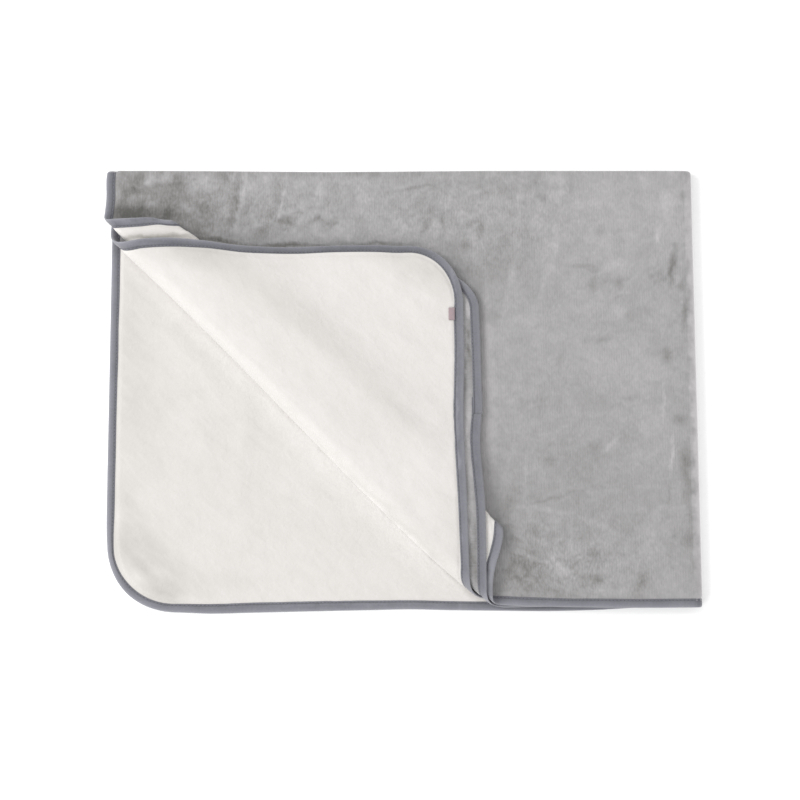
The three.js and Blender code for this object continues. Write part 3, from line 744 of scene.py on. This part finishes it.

# Strokes of the velour's brushed nap, and of painted light and shade along its creases, by the tapes
# and on the right fold's rim
VELOUR_STROKES = [
    # The upper left: darker overall, with brushed patches and painted light and shade along its
    # creases
    (-195, 153, 150, 52, -12, -0.42),
    (-206, 176, 120, 40, 0, -0.3),
    (-235, 154, 34, 15, 0, -0.55),
    (-176, 172, 28, 14, -50, 0.35),
    (-231, 173, 26, 12, 62, -0.35),
    (-228, 148, 60, 14, 0, -0.35),
    (-202, 151, 18, 12, 60, -0.22),
    (-168, 157, 24, 13, -62, -0.4),
    (-216, 181, 11, 9, 90, 0.5),
    (-201, 183, 17, 10, 20, 0.55),
    (-168, 179, 15, 12, 90, 0.35),
    (-232, 165, 11, 7, 90, 0.3),
    (-215, 160, 13, 6, 30, 0.3),
    (-186, 157, 13, 7, 0, 0.35),
    (-194, 186, 10, 7, 90, -0.3),
    (-200, 185, 18, 8, 0, -0.22),
    (-176, 135, 16, 9, -30, -0.35),
    (-152, 184, 16, 10, 80, -0.3),
    (-144, 160, 52, 6, 80, -0.32),
    (-138, 161, 46, 3, 79, 0.22),
    (-150, 153, 14, 8, 0, 0.18),
    (-150, 138, 60, 14, 0, 0.12),
    (-121, 137, 16, 9, 10, -0.3),
    (-104, 162, 42, 3, 77, 0.25),
    (-111, 157, 34, 8, 77, -0.16),
    (-103, 136, 12, 7, 0, -0.18),
    (-100, 146, 26, 8, 15, -0.42),
    # The top, in its middle
    (-84, 140, 13, 7, 30, -0.2),
    (-76, 146, 14, 8, 0, -0.22),
    (-73, 148, 9, 7, 40, -0.4),
    (-64, 143, 15, 9, 25, -0.42),
    (-72, 166, 26, 6, 88, 0.12),
    (-60, 165, 150, 30, 0, -0.06),
    (-50, 186, 130, 10, 0, -0.25),
    (-36, 141, 15, 12, 0, -0.18),
    (-36, 169, 34, 8, 82, 0.14),
    (-18, 152, 14, 10, 0, -0.18),
    (8, 173, 33, 4, 8, -0.3),
    (18, 139, 17, 6, 62, -0.4),
    (31, 151, 60, 20, 0, -0.15),
    (33, 145, 30, 4, 85, -0.2),
    (36, 181, 44, 24, 0, -0.13),
    (39, 177, 7, 6, 0, -0.22),
    # The shadow along the turned-back corner's upper tape
    (-156, 128, 34, 5, -7, -0.6),
    (-98, 124.2, 60, 4, 0, -0.7),
    (-26, 125.6, 70, 3.5, 0, -0.5),
    # The upper right: brushed patches, with painted highlights along its creases and painted shade
    # by the tape's corner
    (52, 108, 44, 14, -50, -0.22),
    (52, 124, 12, 10, 0, -0.3),
    (66, 138, 14, 7, 90, -0.3),
    (77, 66, 22, 16, 0, -0.16),
    (86, 112, 54, 50, 0, -0.25),
    (91, 172, 44, 40, 0, -0.22),
    (89, 82, 40, 6, 78, 0.1),
    (95, 118, 56, 6, 82, 0.12),
    (99, 164, 46, 6, 84, 0.12),
    (118, 86, 42, 5, 70, 0.1),
    (130, 128, 50, 5, 84, 0.12),
    (133, 176, 30, 5, 88, 0.1),
    (124, 151, 20, 45, 0, -0.1),
    (114, 179, 14, 7, 90, -0.2),
    (117, 166, 9, 7, 0, -0.3),
    (144, 175, 15, 5, 88, -0.24),
    (190, 152, 190, 90, 0, 0.1),
    (155, 106, 22, 5, -8, -0.3),
    (162, 92, 12, 9, 80, -0.3),
    (173, 92, 10, 8, 0, -0.16),
    (184, 93, 12, 10, 70, -0.3),
    (169, 138, 11, 9, 0, -0.18),
    (180, 108, 18, 9, 20, 0.18),
    (182, 67, 13, 9, 20, 0.16),
    (195, 65, 8, 7, 0, -0.18),
    (204, 120, 18, 6, 35, -0.15),
    (205, 178, 13, 12, 60, 0.2),
    (211, 97, 5, 5, 0, -0.25),
    (217, 134, 13, 5, 80, 0.28),
    (220, 98, 16, 12, 80, -0.25),
    (225, 160, 20, 13, 80, 0.2),
    # The middle of the right
    (134, 27, 13, 6, 85, -0.18),
    (160, 49, 34, 12, 20, 0.1),
    (169, 44, 22, 6, 0, -0.16),
    (181, 22, 40, 40, 0, 0.12),
    (196, -5, 12, 8, 0, -0.2),
    (209, 12, 34, 20, 40, 0.12),
    (117, -8, 10, 9, 0, -0.14),
    (123, -59, 13, 11, 0, -0.2),
    (164, -48, 13, 9, 30, -0.2),
    (176, -46, 22, 4, 38, 0.2),
    (196, -43, 18, 16, 0, -0.14),
    (207, -33, 50, 50, 0, 0.13),
    # Down the right side
    (239, 167, 7, 5, 90, -0.34),
    (230, 106, 32, 6, 83, -0.62),
    (238, 91, 12, 7, 80, -0.34),
    (240, 66, 28, 5, 88, -0.42),
    (225, 30, 13, 10, 70, -0.42),
    (222, -10, 40, 3, 88, 0.2),
    (237, -24, 11, 10, 0, -0.34),
    (229, -56, 36, 3, 86, 0.34),
    (240, -58, 27, 8, 85, -0.34),
    (243, -76, 40, 8, 88, -0.35),
    (228, -86, 22, 3, 88, -0.2),
    (232, -123, 6, 5, 0, -0.2),
    (242, -128, 14, 8, 85, -0.38),
    (246, -122, 60, 7, 91, -0.15),
    (214, -126, 16, 60, 0, 0.1),
    # The lower right: brushed patches, with painted light and shade along its soft crossing creases
    (104, -74, 40, 3, 88, 0.14),
    (160, -84, 36, 3.5, 8, -0.1),
    (92, -92, 30, 14, 60, -0.25),
    (124, -92, 40, 3.5, 14, -0.18),
    (150, -95, 190, 170, 0, -0.13),
    (128, -102, 42, 5, -14, 0.14),
    (168, -115, 40, 5, -24, 0.16),
    (119, -123, 30, 16, 0, -0.14),
    (92, -124, 60, 18, -82, -0.14),
    (149, -136, 24, 16, 0, 0.2),
    (161, -139, 11, 11, 0, -0.22),
    (106, -140, 34, 4, -22, 0.28),
    (104, -145, 34, 26, 0, -0.36),
    (81, -150, 54, 14, 80, 0.25),
    (136, -151, 26, 5, -42, 0.26),
    (160, -158, 24, 14, 0, -0.14),
    (166, -162, 13, 9, 60, -0.3),
    (203, -162, 13, 9, 70, -0.3),
    (103, -163, 62, 30, -18, -0.35),
    # Beside the turned-back corner and the layer under it: painted light over the tapes' shade on
    # the velour, with some darker patches
    (50.9, 38, 54, 4.6, 90, 0.7),
    (51.2, -45, 54, 4.2, 90, 0.55),
    (54.6, -112, 50, 4, 93.2, 0.55),
    (55.5, 72, 14, 6, 90, 0.5),
    (57, 66, 8, 5, 90, 0.5),
    (54, 49, 8, 5, 90, -0.45),
    (54, 36, 8, 5, 90, -0.45),
    (55, 36, 70, 9, 90, -0.26),
    (58, -46, 70, 9, 90, 0.3),
    (60, -142, 60, 9, -88, -0.3),
    (70, 40, 80, 9, 90, 0.16),
    (70, -42, 190, 15, 90, 0.4),
    # A painted highlight along the right fold's rim, where the pile glints as it turns away
    (248, 120, 230, 9, 92.5, 0.6),
    (251.2, 0, 250, 9, 92.5, 0.8),
    (255.3, -120, 230, 12, 92.5, 0.8),
]

# Where the nap is ruffled most
RUFFLED = [
    (-150, 160, 260, 90, 0, 0.45),
    (60, 150, 150, 80, 0, 0.4),
    (130, -150, 150, 70, 0, 0.5),
]

# Strokes on the fleece, most of them painted light and shade: in troughs, under the tapes and in
# corners
FLEECE_STROKES = [
    # Painted shade in the trough past the roll of the turned-back corner
    (-158, 108, 70, 30, -32, -0.3),
    (-104, 76, 80, 30, -40, -0.3),
    (-52, 34, 90, 26, -42, -0.25),
    (-4, -18, 80, 22, -45, -0.22),
    # The turned-back corner: lighter overall and at its lower end, with painted shade under its top
    # tape and inside its upper right corner by the tape
    (-30, 50, 360, 220, 0, 0.13),
    (-108, 106, 46, 12, 0, -0.12),
    (-25, 113.5, 70, 6, 0, -0.12),
    (18, 103.5, 80, 28, -26, -0.4),
    (12, -59, 70, 90, 0, 0.14),
    # The lowest layer's left side, its lower left corner and its bottom, with painted shade in the
    # trough inside that corner
    (-234, 60, 120, 40, 88, -0.28),
    (-234, 14, 26, 26, 0, 0.13),
    (-228, -10, 120, 50, 88, -0.22),
    (-238, -89, 30, 14, -70, -0.24),
    (-221, -127, 74, 26, -54, -0.28),
    (-192, -157, 74, 24, -40, -0.28),
    (-239, -135.5, 38, 19, -78, -0.56),
    (-222.4, -151.5, 26, 10, -45, -0.5),
    (-207.5, -171.3, 38, 20, -15, -0.66),
    (-148, -162, 50, 16, 0, -0.14),
    # The middle of the lowest layer
    (-165, -45, 260, 210, 0, -0.15),
    (-187, -3, 30, 22, 0, -0.12),
    (-80, -72, 60, 40, 0, 0.1),
    # The tuck, shaded by the turned-back corner's tape and light beside it
    (-213, 131.5, 60, 4.6, 2, -1.2),
    (-176, 124, 90, 30, -6, -0.5),
    (-212, 137, 46, 5, 0, 0.25),
    (-150, 135, 90, 6, 0, 0.2),
    (75, -118, 34, 12, 75, 0.4),
]

# The painted light and shade that follow the roll, a highlight on its ridge, darker lines by its
# edge and light over the shade at its foot:
# how far along it and across it their middles are, how long and wide they are, and their tone
ROLL_PAINTED_LIGHT_AND_SHADE = [
    (280, 3.5, 620, 30, 0.22),
    (250, 17, 560, 16, 0.27),
    (260, 10.5, 600, 10, -0.18),
    (395, 6, 170, 20, -0.22),
    (330, 26, 260, 16, 0.2),
    (370, 11, 180, 5, -0.18),
    (370, 16.5, 180, 4.5, 0.3),
    (110, 27, 150, 20, -0.14),
]

# Painted light and shade on the tape: places painted lighter or darker for how the light falls on it
TAPE_PAINTED_LIGHT_AND_SHADE = [
    # The upper left, and along the top of the turned-back corner
    (-251, 171, 80, 16, 90, -0.12),
    (-216, 147, 40, 4, 0, -0.38),
    (-224, 124, 36, 5, 0, 0.22),
    (-63, 124, 400, 16, 0, -0.32),
    # Down the right of that corner, by the tuck, and along the bottom
    (45, -30, 320, 4, 91.2, 0.3),
    (54, -30, 300, 12, 90, 0.14),
    (80, -135, 60, 12, 80, 0.15),
    (74, -158, 36, 7, 85, 0.35),
    (-65, -181, 300, 4, 0, 0.2),
]

# The materials' colours, from dark to light
VELOUR_DARK = (0.125, 0.123, 0.116)
VELOUR_MIDDLE = (0.350, 0.3425, 0.3445)
VELOUR_LIGHT = (0.596, 0.578, 0.588)
SHERPA_DARK = (0.295, 0.278, 0.25)
SHERPA_MIDDLE = (0.641, 0.619, 0.598)
SHERPA_LIGHT = (0.96, 0.945, 0.935)
TAPE_DARK = (0.106, 0.107, 0.123)
TAPE_MIDDLE = (0.199, 0.2, 0.226)
TAPE_LIGHT = (0.285, 0.287, 0.318)
THREAD_DARK = (0.2, 0.202, 0.23)
THREAD_LIGHT = (0.25, 0.2525, 0.2875)
LABEL_DARK = (0.3, 0.225, 0.24)
LABEL_LIGHT = (0.42, 0.34, 0.355)

# How strongly every cloth glints, and how fine its ribs' unevenness is
SPECULAR = 0.15
RIB_DETAIL = 1.5

# One unit of a wave texture's scale holds this many radians
WAVE_RADIANS = 20


def set_inputs(node, values):
    """Sets a node's inputs by their names."""
    for name, value in values.items():
        node.inputs[name].default_value = value


def follow_roll(along, across, long, wide, tone):
    """A stroke that lies along the roll, as a row of the other tables."""
    x, y = ROLL_START + along * ALONG_ROLL + across * ACROSS_ROLL + CENTRE_SHIFT[:2]
    turn = math.degrees(math.atan2(ALONG_ROLL[1], ALONG_ROLL[0]))
    return x, y, long, wide, turn, tone


class Shade:
    """A material's nodes. Patterns are laid out in millimetres by one of two maps: "flat", the
    place on the flat cloth, and "plan", the place on the folded blanket from above."""

    def __init__(self, name, roughness, sheen, sheen_roughness=0.5):
        self.material = bpy.data.materials.new(name)
        self.material.use_nodes = True
        self.nodes = self.material.node_tree.nodes
        self.links = self.material.node_tree.links
        self.shader = self.nodes["Principled BSDF"]
        set_inputs(self.shader, {
            "Roughness": roughness, "Specular IOR Level": SPECULAR,
            "Sheen Weight": sheen, "Sheen Roughness": sheen_roughness,
        })
        self.maps = {}
        for map_name in ("flat", "plan"):
            node = self.nodes.new("ShaderNodeUVMap")
            node.uv_map = map_name
            self.maps[map_name] = node.outputs["UV"]

    def places(self, by="flat", stretch=(1, 1), turn=0):
        """The place in millimetres, turned and then stretched."""
        turned = self.nodes.new("ShaderNodeMapping")
        set_inputs(turned, {"Rotation": (0, 0, math.radians(turn))})
        self.links.new(self.maps[by], turned.inputs["Vector"])
        scaled = self.nodes.new("ShaderNodeMapping")
        set_inputs(scaled, {"Scale": (1 / MM / stretch[0], 1 / MM / stretch[1], 1)})
        self.links.new(turned.outputs["Vector"], scaled.inputs["Vector"])
        return scaled.outputs["Vector"]

    def noise(self, size, detail=2, distortion=0, output="Fac", **layout):
        """Noise with features of a size in millimetres, from 0 to 1."""
        node = self.nodes.new("ShaderNodeTexNoise")
        set_inputs(node, {"Scale": 1 / size, "Detail": detail, "Distortion": distortion})
        self.links.new(self.places(**layout), node.inputs["Vector"])
        return node.outputs[output]

    def ribs(self, pitch, direction, distortion=0.6):
        """Fine even ribs, from 0 to 1, across one flat direction."""
        node = self.nodes.new("ShaderNodeTexWave")
        node.bands_direction = direction
        scale = 2 * math.pi / WAVE_RADIANS / pitch
        set_inputs(node, {"Scale": scale, "Distortion": distortion, "Detail Scale": RIB_DETAIL})
        self.links.new(self.places(), node.inputs["Vector"])
        return node.outputs["Fac"]

    def strokes(self, table, ragged=9, ragged_size=13):
        """The sum of soft ovals in the plan, one for each row of a table, with ragged edges."""
        rags = self.noise(ragged_size, detail=3, output="Color", by="plan")
        shift = self.nodes.new("ShaderNodeVectorMath")
        shift.operation = "MULTIPLY_ADD"
        self.links.new(rags, shift.inputs[0])
        shift.inputs[1].default_value = (ragged * MM, ragged * MM, 0)
        self.links.new(self.maps["plan"], shift.inputs[2])
        total = 0
        for row in table:
            stroke = dict(zip(STROKE_COLUMNS, row))
            oval = self.nodes.new("ShaderNodeTexGradient")
            oval.gradient_type = "SPHERICAL"
            middle = Vector((stroke["x"] + ragged / 2, stroke["y"] + ragged / 2, 0))
            reach = Vector((stroke["long"], stroke["wide"], 1 / MM)) * STROKE_REACH
            layout = oval.texture_mapping
            layout.vector_type = "TEXTURE"
            layout.translation = middle * MM
            layout.rotation = (0, 0, math.radians(stroke["turn"]))
            layout.scale = reach * MM
            self.links.new(shift.outputs["Vector"], oval.inputs["Vector"])
            part = self.math("MULTIPLY", oval.outputs["Fac"], stroke["tone"] * STROKE_STRENGTH)
            total = self.math("ADD", part, total)
        return total

    def attribute(self, name):
        """A number kept at the points."""
        node = self.nodes.new("ShaderNodeAttribute")
        node.attribute_name = name
        return node.outputs["Fac"]

    def math(self, operation, a, b):
        """A sum, difference or product of two values, each a number or a node's output."""
        node = self.nodes.new("ShaderNodeMath")
        node.operation = operation
        for socket, value in zip(node.inputs, (a, b)):
            if isinstance(value, (int, float)):
                socket.default_value = value
            else:
                self.links.new(value, socket)
        return node.outputs[0]

    def total(self, *parts):
        """The sum of (value, weight) pairs, each value counted from its middle, plus a half."""
        total = 0.5
        for value, weight in parts:
            term = self.math("MULTIPLY", self.math("SUBTRACT", value, 0.5), weight)
            total = self.math("ADD", total, term)
        return total

    def colour(self, value, *tones, low=0, high=1):
        """The base colour, by a value from low to high over evenly spaced tones."""
        share = self.nodes.new("ShaderNodeMapRange")
        set_inputs(share, {"From Min": low, "From Max": high})
        self.links.new(value, share.inputs["Value"])
        node = self.nodes.new("ShaderNodeValToRGB")
        ramp = node.color_ramp
        while len(ramp.elements) < len(tones):
            ramp.elements.new(0.5)
        for number, (element, tone) in enumerate(zip(ramp.elements, tones)):
            element.position = number / (len(tones) - 1)
            element.color = (*tone, 1)
        self.links.new(share.outputs["Result"], node.inputs["Fac"])
        self.links.new(node.outputs["Color"], self.shader.inputs["Base Color"])

    def bump(self, value, height):
        """Relief of a height in millimetres."""
        node = self.nodes.new("ShaderNodeBump")
        set_inputs(node, {"Distance": height * MM})
        self.links.new(value, node.inputs["Height"])
        self.links.new(node.outputs["Normal"], self.shader.inputs["Normal"])


def velour_material():
    """Short brushed plush: strokes of the nap and of painted light and shade, ruffled patches and a
    faint knit rib.
    """
    shade = Shade("velour", roughness=0.8, sheen=0.7, sheen_roughness=0.35)
    patchy = shade.math("MULTIPLY", shade.ribs(2.1, "X", distortion=1.6), shade.noise(22, detail=1))
    grain = shade.noise(1.7, detail=2, stretch=(1, 2.4))
    ruffles = shade.total(
        (shade.noise(9, detail=3, distortion=0.6), 0.9), (shade.noise(28), 0.7), (grain, 0.8),
    )
    ruffled = shade.math("ADD", shade.strokes(RUFFLED), 0.6)
    ruffles = shade.math("MULTIPLY", shade.math("SUBTRACT", ruffles, 0.5), ruffled)
    # The nap here also carries the strokes' painted light and shade
    nap = shade.math("ADD", shade.strokes(VELOUR_STROKES), ruffles)
    tone = shade.math("ADD", nap, shade.total((shade.noise(3.2), 0.2), (patchy, 0.1)))
    shade.colour(tone, VELOUR_DARK, VELOUR_MIDDLE, VELOUR_LIGHT, low=-0.6, high=1.6)
    relief = shade.total((patchy, 0.4), (shade.noise(0.9, detail=3), 0.7), (grain, 0.9), (nap, 0.4))
    shade.bump(relief, 0.2)
    return shade.material


def sherpa_material():
    """Soft fleece: fine fibres lying one way, with low tufts, and strokes of painted light and shade
    along the roll, in troughs and by the tapes.
    """
    shade = Shade("sherpa", roughness=0.95, sheen=0.25)
    fibres = shade.noise(1.8, detail=3, distortion=1.2, stretch=(1, 2.4), turn=20)
    tufts = shade.noise(7, detail=3, distortion=1)
    drag = shade.noise(9, detail=3, distortion=0.4, by="plan", stretch=(2.6, 1), turn=42)
    tone = shade.total((tufts, 0.2), (fibres, 0.25), (drag, 0.35), (shade.noise(45), 0.25))
    strokes = FLEECE_STROKES + [follow_roll(*row) for row in ROLL_PAINTED_LIGHT_AND_SHADE]
    tone = shade.math("ADD", tone, shade.strokes(strokes))
    shade.colour(tone, SHERPA_DARK, SHERPA_MIDDLE, SHERPA_LIGHT, low=-1.5, high=2.5)
    relief = shade.total((tufts, 0.8), (fibres, 0.35), (drag, 1.6), (shade.noise(0.8), 0.2))
    shade.bump(relief, 0.35)
    return shade.material


def tape_material():
    """Ribbed woven tape, with painted shade in its seam's groove, a painted highlight on its nose,
    and painted light and shade in places along it.
    """
    shade = Shade("tape", roughness=0.7, sheen=0.3)
    weave = shade.math("MULTIPLY", shade.ribs(0.8, "X", 0.2), shade.ribs(0.8, "Y", 0.2))
    worn = shade.noise(16, detail=3)
    fine = shade.noise(1.6, detail=2)
    tone = shade.total((shade.attribute("tone"), 1), (worn, 0.35), (fine, 0.3), (weave, 0.2))
    tone = shade.math("ADD", tone, shade.strokes(TAPE_PAINTED_LIGHT_AND_SHADE))
    shade.colour(tone, TAPE_DARK, TAPE_MIDDLE, TAPE_LIGHT)
    puckers = shade.noise(4.5, detail=2, stretch=(2, 1))
    shade.bump(shade.total((weave, 0.4), (puckers, 1)), 0.2)
    return shade.material


def thread_material():
    """The seam's thread, twisted."""
    shade = Shade("thread", roughness=0.6, sheen=0.2)
    twist = shade.ribs(0.5, "X", 0.1)
    tone = shade.total((twist, 0.6), (shade.noise(9), 0.5))
    shade.colour(tone, THREAD_DARK, THREAD_LIGHT)
    shade.bump(twist, 0.05)
    return shade.material


def label_material():
    """Smooth ribbon with a fine rib and nothing on it."""
    shade = Shade("label", roughness=0.65, sheen=0.2)
    weave = shade.ribs(0.6, "Y", 0.1)
    tone = shade.total((shade.noise(2.5), 0.8), (weave, 0.3))
    shade.colour(tone, LABEL_DARK, LABEL_LIGHT)
    shade.bump(weave, 0.08)
    return shade.material


# The pieces, each in the place of its solid

cut = flat_cut()
velour = cloth("velour_face", cut, velour_heights)
sherpa = cloth("sherpa_back", cut, sherpa_heights)
binding = tape()
seam = stitches()
tab = label()

for piece, material, slot, nodes in (
    (velour, velour_material(), "velour", ["velour_panel"]),
    (sherpa, sherpa_material(), "sherpa", ["sherpa_panel"]),
    (binding, tape_material(), "tape", ["edge_tape"]),
    (seam, thread_material(), "tape", []),
    (tab, label_material(), "label", ["side_label"]),
):
    piece.data.materials.append(material)
    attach(piece, "root")
    if nodes:
        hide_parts(*nodes)


# The floor, the lights and the camera, in metres and watts, with the lens in millimetres

WHITE = (1, 1, 1, 1)
FLOOR_SIZE = 6
FLOOR_COLOUR = (0.95, 0.95, 0.95, 1)
FLOOR_GLOW = 0.17
LIGHTS = [
    dict(name="key", place=(-1.75, 1.0, 1.7), size=1.2, power=35.5),
    dict(name="fill", place=(-1.1, -1.5, 1.1), size=1.0, power=13),
]
SKY = 0.825
LENS = 200
VIEW_WIDTH = 0.6856
VIEW_CENTRE = (-0.0030, -0.0075)


def floor_material():
    """A plain white floor with a little light of its own, so that shadows stay faint."""
    material = bpy.data.materials.new("floor")
    material.use_nodes = True
    set_inputs(material.node_tree.nodes["Principled BSDF"], {
        "Base Color": FLOOR_COLOUR,
        "Roughness": 0.9,
        "Specular IOR Level": 0,
        "Emission Color": WHITE,
        "Emission Strength": FLOOR_GLOW,
    })
    return material


bpy.ops.mesh.primitive_plane_add(size=FLOOR_SIZE)
floor = bpy.context.object
floor.name = "floor"
floor.data.materials.append(floor_material())


def area_light(name, place, size, power):
    """A soft square light that faces the blanket."""
    data = bpy.data.lights.new(name, "AREA")
    data.size = size
    data.energy = power
    light = add_object(name, data)
    light.location = place
    light.rotation_euler = (-Vector(place)).to_track_quat("-Z", "Y").to_euler()


for row in LIGHTS:
    area_light(**row)

world = bpy.data.worlds.new("studio")
world.use_nodes = True
set_inputs(world.node_tree.nodes["Background"], {"Color": WHITE, "Strength": SKY})
bpy.context.scene.world = world
bpy.context.scene.view_settings.view_transform = "Standard"

camera_data = bpy.data.cameras.new("camera")
camera_data.lens = LENS
camera = add_object("camera", camera_data)
camera.location = (*VIEW_CENTRE, VIEW_WIDTH * LENS / camera_data.sensor_width)
bpy.context.scene.camera = camera
